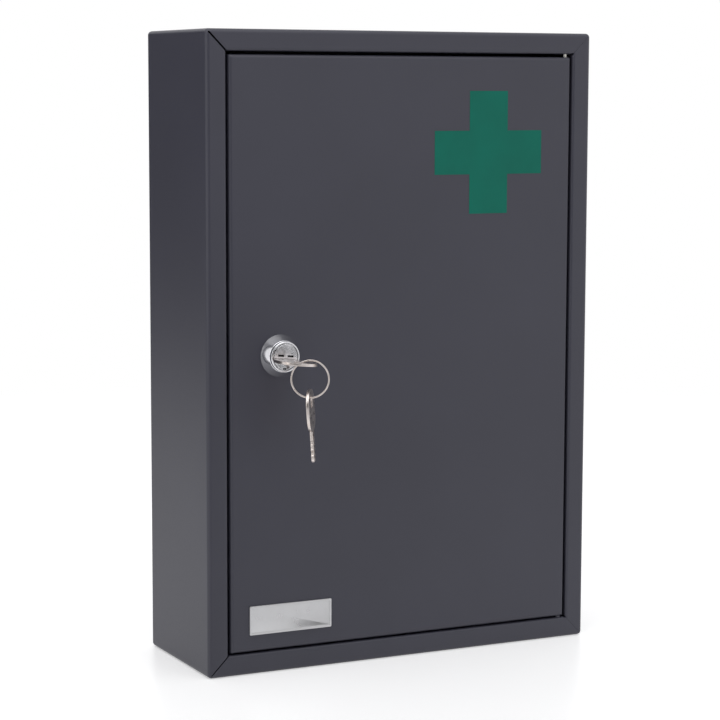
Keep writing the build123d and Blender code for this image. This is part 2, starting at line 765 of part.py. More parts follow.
def folded_shelf(top_z):
    """Shelf tray with a lip folded down along its front and back edges."""
    with BuildPart() as tray:
        with BuildSketch(Plane.YZ):
            with Locations(((shelf_y0 + shelf_y1) / 2, top_z - shelf_lip / 2)):
                Rectangle(shelf_y1 - shelf_y0, shelf_lip)
        extrude(amount=shelf_half, both=True)
        fillet(tray.faces().sort_by(Axis.Z)[-1].edges().filter_by(Axis.X), bend_radius)
        with BuildSketch(Plane.YZ):
            with Locations(((shelf_y0 + shelf_y1) / 2, top_z - sheet - shelf_lip / 2)):
                Rectangle(shelf_y1 - shelf_y0 - 2 * sheet, shelf_lip)
        extrude(amount=shelf_half, both=True, mode=Mode.SUBTRACT)
    return tray.part


with BuildPart() as shelf_lower:
    add(folded_shelf(lower_shelf_height))

with BuildPart() as shelf_upper:
    add(folded_shelf(upper_shelf_height))

with BuildPart() as shelf_brackets:
    wall = cabinet_width / 2 - sheet
    y0 = (shelf_y0 + shelf_y1 - bracket_length) / 2
    for level in shelf_levels:
        seat_z = level - sheet
        for side in (-1, 1):
            shelf_leg = sorted((side * wall, side * (wall - bracket_leg)))
            wall_leg = sorted((side * wall, side * (wall - sheet)))
            add(bar(*shelf_leg, y0, y0 + bracket_length, seat_z - sheet, seat_z))
            add(bar(*wall_leg, y0, y0 + bracket_length, seat_z - bracket_leg, seat_z))

# ================================================================ files
pieces = {
    "body_shell": body_shell, "top_panel": top_panel, "bottom_panel": bottom_panel,
    "door_panel": door_panel, "door_hinge_bushes": door_hinge_bushes,
    "hinge_pin_top": hinge_pin_top, "hinge_pin_bottom": hinge_pin_bottom,
    "hinge_washer": hinge_washer, "door_stops": door_stops, "door_bumpers": door_bumpers,
    "lock_collar": lock_collar, "lock_housing": lock_housing, "lock_washer": lock_washer,
    "lock_nut": lock_nut, "lock_plug": lock_plug, "lock_wafers": lock_wafers,
    "wafer_springs": wafer_springs, "cam_stop_washer": cam_stop_washer, "lock_cam": lock_cam,
    "cam_lock_washer": cam_lock_washer, "cam_screw": cam_screw, "key_in_lock": key_in_lock,
    "key_ring": key_ring, "spare_key": spare_key, "nameplate": nameplate,
    "cross_decal": cross_decal, "shelf_lower": shelf_lower, "shelf_upper": shelf_upper,
    "shelf_brackets": shelf_brackets,
}
os.makedirs("parts", exist_ok=True)
for piece_name, piece in pieces.items():
    piece.part.label = piece_name
    export_step(piece.part, f"parts/{piece_name}.step")
print(f"ring centre {tuple(round(c, 2) for c in ring_centre)}")
print(f"lock centre x {lock_x:.2f} z {lock_z:.2f}, hinge axis x {hinge_x:.2f} y {hinge_y:.2f}")
print(f"spare key hangs at {tuple(round(c, 2) for c in ring_bottom)}")
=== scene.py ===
import json
import math

import bmesh
import bpy
from bpy.props import FloatProperty, FloatVectorProperty, IntProperty, PointerProperty
from mathutils import Matrix, Vector


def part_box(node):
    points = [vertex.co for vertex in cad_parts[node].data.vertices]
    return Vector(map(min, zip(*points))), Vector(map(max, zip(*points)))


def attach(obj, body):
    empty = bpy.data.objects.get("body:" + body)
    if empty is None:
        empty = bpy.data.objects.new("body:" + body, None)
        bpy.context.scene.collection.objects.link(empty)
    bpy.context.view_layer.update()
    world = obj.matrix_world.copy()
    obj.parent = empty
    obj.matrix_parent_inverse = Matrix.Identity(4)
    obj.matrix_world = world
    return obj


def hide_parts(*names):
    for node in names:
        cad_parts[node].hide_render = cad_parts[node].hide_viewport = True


bl_info = {
    "name": "Lockable medicine cabinet",
    "version": (1, 0, 0),
    "blender": (4, 5, 0),
    "location": "View3D > Sidebar > Cabinet",
    "description": "Dresses a folded steel wall cabinet with its lock, keys, plate and stage",
    "category": "Object",
}

# the steel frame; lengths are in metres throughout
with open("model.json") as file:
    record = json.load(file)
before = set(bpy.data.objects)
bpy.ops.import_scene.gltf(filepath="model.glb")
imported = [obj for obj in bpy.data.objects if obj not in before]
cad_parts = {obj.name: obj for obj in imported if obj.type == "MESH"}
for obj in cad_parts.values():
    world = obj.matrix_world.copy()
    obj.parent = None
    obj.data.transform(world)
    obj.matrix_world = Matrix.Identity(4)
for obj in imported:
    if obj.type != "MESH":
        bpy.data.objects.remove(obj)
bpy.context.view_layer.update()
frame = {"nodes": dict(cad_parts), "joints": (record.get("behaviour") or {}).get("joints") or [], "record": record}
JOINTS = {joint["name"]: joint for joint in frame["joints"]}
LOCK_AXIS = Vector(JOINTS["lock_turn"]["pos_m"])
RING_TOP = Vector(JOINTS["ring_swing"]["pos_m"])
RING_BOTTOM = Vector(JOINTS["spare_key_swing"]["pos_m"])

UP = Vector((0.0, 0.0, 1.0))
WHITE = (1.0, 1.0, 1.0, 1.0)
FULL_TURN = 360.0
SHARP_ANGLE = math.radians(38.0)
WELD_DIVISOR = 50

# the key in the lock
KEY_TURN = math.radians(6.0)
KEYWAY_DROP = 0.0022

# both key blanks; the bitting runs from the bow to the tip
BITTING = (0.0009, 0.0005, 0.0012, 0.0007)
BITTING_PITCH = 0.0036
BITTING_FLAT = 0.001
LAST_CUT = 0.0027
TIP_SLANT = 0.0014
GROOVE_WIDTH = 0.0012
GROOVE_CORNER = GROOVE_WIDTH / 2.2
GROOVE_CORNER_STEPS = 4
GROOVE_DEPTH = 0.0005
GROOVE_PLACE = 0.001
SHOULDER_STEPS = 8
BOW_CORNER_STEPS = 12
BOW_HOLE_STEPS = 40

# the split ring: its jog, in degrees, is where the wire steps from one turn to the other
RING_YAW = math.radians(27.0)
RING_ALONG = Vector((math.cos(RING_YAW), -math.sin(RING_YAW), 0.0))
RING_SOLID = 0.0012
RING_JOG = 60.0
RING_LOOPS = 220
RING_CORNER_SHARE = 0.42
RING_CORNER_STEPS = 4
RING_TAPER = (0.72, 0.92)

# the spare key
SPARE_YAW = math.radians(6.0)
SPARE_LEAN = math.radians(3.5)
SPARE_GAP = 0.0008

# the nameplate
PLATE_RELIEF = 0.0005
PLATE_CORNER = 0.0008
PLATE_LEAST_CORNER = 0.0002
PLATE_CORNER_STEPS = 6
PLATE_EDGE_STEPS = 4

# the stage: soft lamps with their place, aim, width, height and power in watts
LAMPS = (
    ("soft_top", (-0.3, -0.6, 1.7), (0.0, 0.0, 0.2), 1.6, 1.2, 9.0),
    ("soft_left", (-1.7, -0.9, 0.9), (0.0, 0.0, 0.2), 0.8, 1.0, 3.0),
)
# black screens with their place, aim, width and height
SCREENS = (
    ("screen_back_left", (-1.7, 2.2, 0.35), (-0.2, 0.0, 0.25), 3.0, 1.9),
    ("screen_front", (-1.15, -2.1, 0.8), (0.0, 0.0, 0.25), 2.4, 1.7),
    ("screen_low", (0.0, -1.0, 0.14), (0.0, 0.0, 0.14), 0.7, 0.28),
)
SCREEN_CELLS = 8
FLOOR_SEGMENTS = 96
FLOOR_DROP = 0.0002
FLOOR_FADE = (0.35, 0.9)
SENSOR_WIDTH = 36.0


def colour_prop(name, description, default):
    """A colour setting, in linear values as Blender's shaders take them."""
    return FloatVectorProperty(
        name=name, description=description, default=default, size=3,
        min=0.0, max=1.0, subtype="COLOR",
    )


def length_prop(name, description, default):
    """A length setting in metres."""
    return FloatProperty(
        name=name, description=description, default=default, min=0.0, precision=5,
        subtype="DISTANCE", unit="LENGTH",
    )


def share_prop(name, description, default):
    """A setting between 0 and 1."""
    return FloatProperty(
        name=name, description=description, default=default, min=0.0, max=1.0, subtype="FACTOR",
    )


def angle_prop(name, description, default):
    """An angle setting in radians."""
    return FloatProperty(
        name=name, description=description, default=default, subtype="ANGLE", unit="ROTATION",
    )


class CabinetCoatSettings(bpy.types.PropertyGroup):
    """Powder coat, film and rubber."""

    coat_colour: colour_prop(
        "Coat colour", "Colour of the powder coat", (0.043, 0.043, 0.062)
    )
    coat_roughness: share_prop("Coat roughness", "Roughness of the powder coat", 0.42)
    coat_grain: length_prop("Coat grain", "Width of the grains in the powder coat", 0.0007)
    coat_relief: length_prop("Coat relief", "Height of the grains in the powder coat", 0.00003)
    panel_wave: length_prop("Panel wave", "How far the sheet is out of flat", 0.0002)
    cross_colour: colour_prop("Cross colour", "Colour of the film", (0.004, 0.155, 0.110))
    rubber_colour: colour_prop(
        "Rubber colour", "Colour of the door bumpers", (0.012, 0.012, 0.012)
    )


class CabinetMetalSettings(bpy.types.PropertyGroup):
    """Bare and plated metals."""

    zinc_colour: colour_prop("Zinc colour", "Colour of the plated steel", (0.55, 0.54, 0.51))
    chrome_colour: colour_prop("Chrome colour", "Colour of the lock's chrome", (0.72, 0.72, 0.75))
    key_colour: colour_prop("Key colour", "Colour of the nickel on the keys", (0.66, 0.61, 0.59))
    brass_colour: colour_prop("Brass colour", "Colour of the wafers", (0.66, 0.47, 0.20))
    plate_colour: colour_prop("Plate colour", "Colour of the nameplate", (0.52, 0.52, 0.53))
    chrome_roughness: share_prop("Chrome roughness", "Roughness of the chrome", 0.06)
    key_roughness: share_prop("Key roughness", "Roughness of the keys", 0.30)


class CabinetSizeSettings(bpy.types.PropertyGroup):
    """Small sizes that the visible pieces add to the steel frame."""

    key_edge: length_prop("Key edge", "Rounding along the edges of the keys", 0.0003)
    key_thickness: length_prop("Key thickness", "Thickness of the key blanks", 0.002)
    bow_width: length_prop("Bow width", "Width of a key's bow", 0.028)
    bow_length: length_prop("Bow length", "Length of a key's bow", 0.029)
    bow_corner: length_prop("Bow corner", "Radius of the bow's corners", 0.011)
    bow_hole: length_prop("Bow hole", "Radius of the hole in the bow", 0.00425)
    bow_rim: length_prop("Bow rim", "Metal between the hole and the bow's end", 0.0043)
    blade_width: length_prop("Blade width", "Width of a key's blade", 0.008)
    blade_length: length_prop("Blade length", "Length of a key's blade", 0.021)
    plate_border: length_prop("Plate border", "Width of the nameplate's raised border", 0.0016)
    plate_edge: length_prop("Plate edge", "Rounding of the nameplate's border", 0.00035)
    ring_wire: length_prop("Ring wire", "Width of the split ring's wire", 0.0012)
    ring_turn_gap: length_prop("Ring gap", "Space between the ring's turns", 0.0001)
    round_steps: IntProperty(
        name="Round steps", description="Segments in each rounded edge", default=3, min=1, max=8,
    )


class CabinetStageSettings(bpy.types.PropertyGroup):
    """Camera, light from all round and floor."""

    camera_place: FloatVectorProperty(
        name="Camera place", description="Where the camera stands", size=3,
        default=(-0.747, -1.488, 0.412), subtype="TRANSLATION", unit="LENGTH",
    )
    camera_yaw: angle_prop("Camera yaw", "Turn to the right of straight on", math.radians(26.40))
    camera_pitch: angle_prop("Camera pitch", "Tilt below level", math.radians(6.89))
    camera_roll: angle_prop("Camera roll", "Turn about the line of sight", math.radians(0.17))
    lens: FloatProperty(
        name="Lens", description="Focal length on a 36 mm sensor", default=113.7, min=10.0,
        unit="CAMERA",
    )
    floor_colour: colour_prop("Floor colour", "Colour of the floor", (0.86, 0.86, 0.87))
    floor_radius: length_prop("Floor radius", "Where the floor ends", 1.6)
    floor_lift: share_prop(
        "Floor lift", "Whiteness added where the floor is seen or mirrored", 0.40
    )
    sky_strength: share_prop("Sky strength", "Light from all round", 0.66)


# ---------------------------------------------------------------- materials
class Nodes:
    """Short names for building one material's nodes."""

    def __init__(self, name):
        self.material = bpy.data.materials.new(name)
        self.material.use_nodes = True
        self.tree = self.material.node_tree
        self.tree.nodes.clear()
        self.output = self.add("ShaderNodeOutputMaterial")
        self.shader = self.add("ShaderNodeBsdfPrincipled")
        self.link(self.shader.outputs["BSDF"], self.output.inputs["Surface"])
        self.place = self.add("ShaderNodeTexCoord").outputs["Object"]

    def add(self, kind, **settings):
        """A new node with some of its settings."""
        node = self.tree.nodes.new(kind)
        for key, value in settings.items():
            setattr(node, key, value)
        return node

    def link(self, output, socket):
        """Joins an output to an input socket."""
        self.tree.links.new(output, socket)

    def fill(self, node, **values):
        """Sets or links a node's inputs by name, with _ for a blank."""
        for key, value in values.items():
            socket = node.inputs[key.replace("_", " ")]
            if isinstance(value, bpy.types.NodeSocket):
                self.link(value, socket)
            else:
                socket.default_value = value

    def stretched(self, scale, turn=(0.0, 0.0, 0.0)):
        """The object's own coordinates, turned and then stretched."""
        mapping = self.add("ShaderNodeMapping")
        self.fill(mapping, Vector=self.place, Rotation=turn, Scale=scale)
        return mapping.outputs["Vector"]

    def noise(self, scale, detail=4.0, rough=0.5, vector=None):
        """A noise value about 0.5."""
        node = self.add("ShaderNodeTexNoise")
        self.fill(
            node, Vector=vector or self.place, Scale=scale, Detail=detail, Roughness=rough
        )
        return node.outputs["Fac"]

    def grains(self, scale):
        """Rounded grains, as in a textured coat."""
        node = self.add("ShaderNodeTexVoronoi", feature="F1")
        self.fill(node, Vector=self.place, Scale=scale, Randomness=1.0)
        return node.outputs["Distance"]

    def spread(self, value, low, high, from_low=0.3, from_high=0.7):
        """Maps a value onto a range and holds it at the range's ends."""
        node = self.add("ShaderNodeMapRange")
        self.fill(node, Value=value)
        for key, number in zip(
            ("From Min", "From Max", "To Min", "To Max"), (from_low, from_high, low, high)
        ):
            node.inputs[key].default_value = number
        return node.outputs["Result"]

    def tint(self, value, dark, light, from_low=0.3, from_high=0.7):
        """A colour that runs from dark to light with a value."""
        ramp = self.add("ShaderNodeValToRGB")
        ends = zip(ramp.color_ramp.elements, (from_low, from_high), (dark, light))
        for element, position, colour in ends:
            element.position = position
            element.color = (*colour, 1.0)
        self.link(value, ramp.inputs["Fac"])
        return ramp.outputs["Color"]

    def bump(self, height, distance, strength=1.0, below=None):
        """Bump of a given height, laid over another bump."""
        node = self.add("ShaderNodeBump")
        self.fill(node, Height=height, Distance=distance, Strength=strength)
        if below is not None:
            self.link(below, node.inputs["Normal"])
        return node.outputs["Normal"]


def shade(colour, factor):
    """The same colour, darker or lighter."""
    return tuple(min(1.0, channel * factor) for channel in colour)


def powder_coat(settings):
    """Satin powder coat: fine rounded grains over a sheet that is a little out of flat."""
    nodes = Nodes("grey_powder_coat")
    colour = tuple(settings.coat_colour)
    cloud = nodes.noise(scale=9.0, detail=3.0)
    grain = nodes.grains(scale=1.0 / settings.coat_grain)
    speck = nodes.noise(scale=1.6 / settings.coat_grain, detail=2.0)
    wave = nodes.noise(scale=6.0, detail=1.0, rough=0.3)
    flat = nodes.bump(wave, distance=settings.panel_wave)
    fine = nodes.bump(grain, distance=settings.coat_relief, strength=0.6, below=flat)
    finest = nodes.bump(speck, distance=settings.coat_relief, strength=0.5, below=fine)
    nodes.fill(
        nodes.shader,
        Base_Color=nodes.tint(cloud, dark=shade(colour, 0.93), light=shade(colour, 1.07)),
        Roughness=nodes.spread(
            speck, low=settings.coat_roughness - 0.03, high=settings.coat_roughness + 0.05
        ),
        Normal=finest,
        IOR=1.5,
    )
    return nodes.material


def plated_steel(settings):
    """Zinc-plated steel with a faint spangle and fine rolling lines."""
    nodes = Nodes("zinc_plated_steel")
    colour = tuple(settings.zinc_colour)
    spangle = nodes.grains(scale=420.0)
    across = nodes.stretched((300.0, 300.0, 6000.0))
    lines = nodes.noise(scale=1.0, detail=4.0, rough=0.6, vector=across)
    nodes.fill(
        nodes.shader,
        Base_Color=nodes.tint(
            spangle, dark=shade(colour, 0.82), light=shade(colour, 1.08), from_low=0.1
        ),
        Roughness=nodes.spread(spangle, low=0.28, high=0.45, from_low=0.1),
        Normal=nodes.bump(lines, distance=0.000006, strength=0.7),
        Metallic=1.0,
    )
    return nodes.material


def lock_chrome(settings, name="lock_chrome", turned=False, face=None):
    """Polished chrome with hairlines; it may have turning marks, and shade painted into its recesses behind a
    face.
    """
    nodes = Nodes(name)
    colour = tuple(settings.chrome_colour)
    hairlines = nodes.stretched((600.0, 600.0, 4000.0), turn=(0.3, 0.5, 0.2))
    scratch = nodes.noise(scale=1.0, detail=3.0, rough=0.7, vector=hairlines)
    smear = nodes.noise(scale=160.0, detail=3.0)
    normal = nodes.bump(scratch, distance=0.000002, strength=0.6)
    if turned:
        centre = nodes.add("ShaderNodeMapping")
        nodes.fill(centre, Vector=nodes.place, Location=tuple(-LOCK_AXIS))
        rings = nodes.add("ShaderNodeTexWave", wave_type="RINGS", rings_direction="Y")
        nodes.fill(
            rings, Vector=centre.outputs["Vector"], Scale=900.0, Distortion=1.2, Detail=2.0
        )
        normal = nodes.bump(rings.outputs["Fac"], distance=0.00001, strength=0.7, below=normal)
    clean = nodes.tint(smear, dark=shade(colour, 0.94), light=shade(colour, 1.04))
    if face is not None:
        # painted shade: the colour darkens with depth behind the face, so the slit and notch look shaded
        split = nodes.add("ShaderNodeSeparateXYZ")
        nodes.link(nodes.place, split.inputs["Vector"])
        painted_recess_shade = nodes.spread(
            split.outputs["Y"], low=1.0, high=0.05,
            from_low=face + 0.0003, from_high=face + 0.0010,
        )
        dimmed = nodes.add("ShaderNodeVectorMath", operation="SCALE")
        nodes.link(clean, dimmed.inputs[0])
        nodes.link(painted_recess_shade, dimmed.inputs["Scale"])
        clean = dimmed.outputs["Vector"]
    duller = 0.20 if turned else 0.02
    nodes.fill(
        nodes.shader,
        Base_Color=clean,
        Roughness=nodes.spread(
            smear, low=settings.chrome_roughness - 0.02, high=settings.chrome_roughness + duller
        ),
        Normal=normal,
        Metallic=1.0,
    )
    return nodes.material


def key_nickel(settings):
    """Nickel on brass: brushed along the blank, duller and warmer where it is handled."""
    nodes = Nodes("key_nickel")
    colour = tuple(settings.key_colour)
    warm = (colour[0], colour[1] * 0.96, colour[2] * 0.92)
    along = nodes.stretched((5200.0, 5200.0, 500.0))
    brushed = nodes.noise(scale=1.0, detail=5.0, rough=0.7, vector=along)
    handled = nodes.noise(scale=210.0, detail=4.0, rough=0.6)
    nodes.fill(
        nodes.shader,
        Base_Color=nodes.tint(
            handled, dark=shade(warm, 0.93), light=shade(colour, 1.06),
            from_low=0.35, from_high=0.62,
        ),
        Roughness=nodes.spread(
            handled, low=settings.key_roughness - 0.05, high=settings.key_roughness + 0.05
        ),
        Normal=nodes.bump(brushed, distance=0.000008, strength=0.6),
        Metallic=1.0,
    )
    return nodes.material


def wafer_brass(settings):
    """Stamped brass."""
    nodes = Nodes("wafer_brass")
    colour = tuple(settings.brass_colour)
    dull = nodes.noise(scale=700.0, detail=4.0)
    nodes.fill(
        nodes.shader,
        Base_Color=nodes.tint(dull, dark=shade(colour, 0.75), light=shade(colour, 1.05)),
        Roughness=nodes.spread(dull, low=0.25, high=0.45),
        Normal=nodes.bump(dull, distance=0.00001, strength=0.5),
        Metallic=1.0,
    )
    return nodes.material


def plate_silver(settings):
    """Bright anodised plate with a fine blasted grain."""
    nodes = Nodes("satin_plate")
    colour = tuple(settings.plate_colour)
    blasted = nodes.grains(scale=4200.0)
    cloud = nodes.noise(scale=90.0, detail=3.0)
    nodes.fill(
        nodes.shader,
        Base_Color=nodes.tint(cloud, dark=shade(colour, 0.95), light=shade(colour, 1.03)),
        Roughness=nodes.spread(cloud, low=0.26, high=0.36),
        Normal=nodes.bump(blasted, distance=0.000012, strength=0.6),
        Metallic=1.0,
    )
    return nodes.material


def cross_film(settings):
    """Vinyl film that takes a little of the coat's grain through from below."""
    nodes = Nodes("cross_film")
    colour = tuple(settings.cross_colour)
    cloud = nodes.noise(scale=40.0, detail=3.0)
    grain = nodes.grains(scale=1.0 / settings.coat_grain)
    nodes.fill(
        nodes.shader,
        Base_Color=nodes.tint(cloud, dark=shade(colour, 0.94), light=shade(colour, 1.06)),
        Roughness=nodes.spread(cloud, low=0.40, high=0.50),
        Normal=nodes.bump(grain, distance=settings.coat_relief, strength=0.35),
        IOR=1.46,
        Specular_IOR_Level=0.2,
    )
    return nodes.material


def bumper_rubber(settings):
    """Matte moulded rubber with a dusty bloom."""
    nodes = Nodes("bumper_rubber")
    colour = tuple(settings.rubber_colour)
    bloom = nodes.noise(scale=500.0, detail=5.0, rough=0.6)
    nodes.fill(
        nodes.shader,
        Base_Color=nodes.tint(bloom, dark=colour, light=shade(colour, 2.2)),
        Roughness=nodes.spread(bloom, low=0.7, high=0.9),
        Normal=nodes.bump(bloom, distance=0.00002, strength=0.6),
    )
    return nodes.material


def finish_of(slot_name):
    """The material for one of the record's slots, made once."""
    coat = bpy.context.scene.cabinet_coat
    metal = bpy.context.scene.cabinet_metal
    makers = {
        "powder_coat": (powder_coat, coat, "grey_powder_coat"),
        "bare_steel": (plated_steel, metal, "zinc_plated_steel"),
        "chrome": (lock_chrome, metal, "lock_chrome"),
        "nickel": (key_nickel, metal, "key_nickel"),
        "brass": (wafer_brass, metal, "wafer_brass"),
        "plate_silver": (plate_silver, metal, "satin_plate"),
        "green_vinyl": (cross_film, coat, "cross_film"),
        "rubber": (bumper_rubber, coat, "bumper_rubber"),
    }
    maker, settings, name = makers[slot_name]
    return bpy.data.materials.get(name) or maker(settings)


def slot_of(node):
    """The record's material slot of a steel-frame node."""
    for row in frame["record"]["subparts"]:
        if row["node"] == node:
            return row["material_slot"]
    raise RuntimeError(f"the record has no sub-part {node}")


def coat_node(name, material):
    """Gives all of a frame node one material."""
    for place in frame["nodes"][name].material_slots:
        place.material = material


def coat_nodes(*names):
    """Gives frame nodes the finish of their slot."""
    for name in names:
        coat_node(name, finish_of(slot_of(name)))


# ---------------------------------------------------------------- shapes
def piece(name, mesh, body, slot_name, replaced):
    """A finished piece that rides on a body and stands for a frame node."""
    obj = bpy.data.objects.new(name, mesh)
    bpy.context.scene.collection.objects.link(obj)
    mesh.materials.clear()
    mesh.materials.append(finish_of(slot_name))
    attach(obj, body)
    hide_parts(replaced)


def smoothed(mesh):
    """Smooth shading with the steep edges kept sharp."""
    mesh.shade_smooth()
    mesh.set_sharp_from_angle(angle=SHARP_ANGLE)
    return mesh


def arc(centre, radius, start, end, steps):
    """Points on an arc, with angles in degrees."""
    points = []
    for i in range(steps + 1):
        turn = math.radians(start + (end - start) * i / steps)
        points.append((centre[0] + radius * math.cos(turn), centre[1] + radius * math.sin(turn)))
    return points


def rounded_outline(width, height, radius, steps):
    """A rectangle with round corners about the origin."""
    x, y = width / 2 - radius, height / 2 - radius
    return (
        arc((x, y), radius, 0, 90, steps) + arc((-x, y), radius, 90, 180, steps)
        + arc((-x, -y), radius, 180, 270, steps) + arc((x, -y), radius, 270, 360, steps)
    )


def stitched(name, loops):
    """A closed mesh whose skin runs through loops of equal length."""
    mesh = bpy.data.meshes.new(name)
    skin = bmesh.new()
    rows = [[skin.verts.new(point) for point in loop] for loop in loops]
    for row, following in zip(rows, rows[1:]):
        for i in range(len(row)):
            j = (i + 1) % len(row)
            skin.faces.new((row[i], row[j], following[j], following[i]))
    skin.faces.new(rows[0][::-1])
    skin.faces.new(rows[-1])
    bmesh.ops.recalc_face_normals(skin, faces=skin.faces)
    skin.to_mesh(mesh)
    skin.free()
    return smoothed(mesh)


def evaluated_mesh(obj):
    """A mesh of an object as its curve or modifiers make it."""
    bpy.context.view_layer.update()
    return bpy.data.meshes.new_from_object(
        obj.evaluated_get(bpy.context.evaluated_depsgraph_get())
    )


def cut_sheet(name, outlines, thickness, edge, steps):
    """A flat blank with round edges; the first outline is its rim, the others are holes."""
    curve = bpy.data.curves.new(name, "CURVE")
    curve.dimensions = "2D"
    curve.fill_mode = "BOTH"
    curve.extrude = thickness / 2 - edge
    curve.bevel_depth = edge
    curve.bevel_resolution = steps
    curve.offset = -edge
    for outline in outlines:
        spline = curve.splines.new("POLY")
        spline.points.add(len(outline) - 1)
        for point, (x, y) in zip(spline.points, outline):
            point.co = (x, y, 0.0, 1.0)
        spline.use_cyclic_u = True
    blank = bpy.data.objects.new(name, curve)
    bpy.context.scene.collection.objects.link(blank)
    mesh = evaluated_mesh(blank)
    bpy.data.objects.remove(blank)
    bpy.data.curves.remove(curve)
    # the faces and the rounded rim come as separate skins, so they are joined here
    joined = bmesh.new()
    joined.from_mesh(mesh)
    bmesh.ops.remove_doubles(joined, verts=joined.verts, dist=edge / WELD_DIVISOR)
    bmesh.ops.recalc_face_normals(joined, faces=joined.faces)
    joined.to_mesh(mesh)
    joined.free()
    return mesh


def carved(mesh, cutters):
    """The mesh with other meshes cut out of it."""
    holder = bpy.data.objects.new("blank", mesh)
    bpy.context.scene.collection.objects.link(holder)
    tools = []
    for cutter in cutters:
        tool = bpy.data.objects.new("cutter", cutter)
        bpy.context.scene.collection.objects.link(tool)
        cut = holder.modifiers.new("cut", "BOOLEAN")
        cut.operation = "DIFFERENCE"
        cut.solver = "EXACT"
        cut.object = tool
        tools.append(tool)
    result = evaluated_mesh(holder)
    for obj in (holder, *tools):
        bpy.data.objects.remove(obj)
    return result


# ---------------------------------------------------------------- keys and ring
def key_outline(sizes):
    """The key's rim, with the bow below y = 0 and the blade above it."""
    half_bow = sizes.bow_width / 2 - sizes.bow_corner
    low = sizes.bow_corner - sizes.bow_length
    radius = sizes.bow_corner
    half = sizes.blade_width / 2
    length = sizes.blade_length
    right = []
    for i, depth in enumerate(BITTING):
        middle = length - LAST_CUT - (len(BITTING) - 1 - i) * BITTING_PITCH
        right += [
            (half, middle - BITTING_FLAT / 2 - depth), (half - depth, middle - BITTING_FLAT / 2),
            (half - depth, middle + BITTING_FLAT / 2), (half, middle + BITTING_FLAT / 2 + depth),
        ]
    right += [(half, length - TIP_SLANT), (half - TIP_SLANT, length)]
    # the bow's end drops away from the blade, so each corner arc starts beside it
    shoulder = math.degrees(math.acos(max(0.0, half - half_bow) / radius))
    bow = (
        arc((-half_bow, -radius), radius, 180.0 - shoulder, 180.0, SHOULDER_STEPS)
        + arc((-half_bow, low), radius, 180.0, 270.0, BOW_CORNER_STEPS)
        + arc((half_bow, low), radius, 270.0, 360.0, BOW_CORNER_STEPS)
        + arc((half_bow, -radius), radius, 0.0, shoulder, SHOULDER_STEPS)
    )
    left = [(-x, y) for x, y in reversed(right)]
    return bow + right + left


def bow_hole_height(sizes):
    """Height of the bow's hole in the key's own frame, where the blade starts at 0."""
    return -sizes.bow_length + sizes.bow_rim + sizes.bow_hole


def key_blank(name, sizes):
    """One key with round edges, a hole in the bow and a groove in each face of its blade."""
    hole = arc((0.0, bow_hole_height(sizes)), sizes.bow_hole, 0.0, FULL_TURN, BOW_HOLE_STEPS)
    mesh = cut_sheet(
        name, (key_outline(sizes), hole[:-1]), sizes.key_thickness, sizes.key_edge,
        sizes.round_steps,
    )
    groove = rounded_outline(
        GROOVE_WIDTH, sizes.blade_length + 2 * GROOVE_WIDTH, GROOVE_CORNER, GROOVE_CORNER_STEPS
    )
    heights = (sizes.key_thickness / 2 - GROOVE_DEPTH, sizes.key_thickness)
    cutters = []
    for face in (-1, 1):
        outline = [
            (x + face * GROOVE_PLACE, y + GROOVE_PLACE + sizes.blade_length / 2)
            for x, y in groove
        ]
        loops = [[(x, y, face * z) for x, y in outline] for z in heights]
        cutters.append(stitched("groove", loops))
    return smoothed(carved(mesh, cutters))


def placed(origin, across, along):
    """The place of a blank whose x and y run across and along."""
    turned = Matrix((across, along, across.cross(along))).transposed().to_4x4()
    return Matrix.Translation(origin) @ turned


def lock_key_place(sizes):
    """Place of the key in the lock: turned a little clockwise, below the lock's axis."""
    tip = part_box("key_in_lock")[1].y
    across = Vector((math.cos(KEY_TURN), 0.0, -math.sin(KEY_TURN)))
    along = Vector((0.0, 1.0, 0.0))
    above = Vector((math.sin(KEY_TURN), 0.0, math.cos(KEY_TURN)))
    origin = Vector((LOCK_AXIS.x, tip - sizes.blade_length, LOCK_AXIS.z)) - above * KEYWAY_DROP
    return placed(origin, across, along)


def spare_key_place(sizes):
    """Place of the spare key: it hangs by its bow from the bottom of the ring."""
    face = Matrix.Rotation(-SPARE_YAW, 3, "Z") @ RING_ALONG
    across = UP.cross(face)
    down = Vector((0.0, 0.0, -math.cos(SPARE_LEAN))) + face * math.sin(SPARE_LEAN)
    hole = RING_BOTTOM.copy()
    hole.z += RING_SOLID / 2 + SPARE_GAP - sizes.bow_hole
    return placed(hole - down * bow_hole_height(sizes), across, down)


def split_ring(name, sizes):
    """Two turns of flattened wire, almost face to face, with a step from one to the other."""
    middle = (RING_TOP + RING_BOTTOM) / 2
    radius = (RING_TOP - RING_BOTTOM).length / 2
    out = RING_ALONG.cross(UP)
    pitch = sizes.ring_wire + sizes.ring_turn_gap
    section = rounded_outline(
        sizes.ring_wire, sizes.ring_wire, sizes.ring_wire * RING_CORNER_SHARE, RING_CORNER_STEPS
    )
    start = 90.0 + RING_JOG / 2 - FULL_TURN
    sweep = 2 * FULL_TURN - RING_JOG
    loops = []
    for i in range(RING_LOOPS + 1):
        angle = start + sweep * i / RING_LOOPS
        step = min(1.0, max(0.0, (angle - 90.0 + RING_JOG / 2) / RING_JOG))
        layer = (step * step * (3.0 - 2.0 * step) - 0.5) * pitch
        spoke = RING_ALONG * math.cos(math.radians(angle)) + UP * math.sin(math.radians(angle))
        # the wire's ends are ground to a slight taper
        from_end = min(i, RING_LOOPS - i)
        narrow = RING_TAPER[from_end] if from_end < len(RING_TAPER) else 1.0
        centre = middle + spoke * radius + out * layer
        loops.append([centre + spoke * (x * narrow) + out * (y * narrow) for x, y in section])
    return stitched(name, loops)


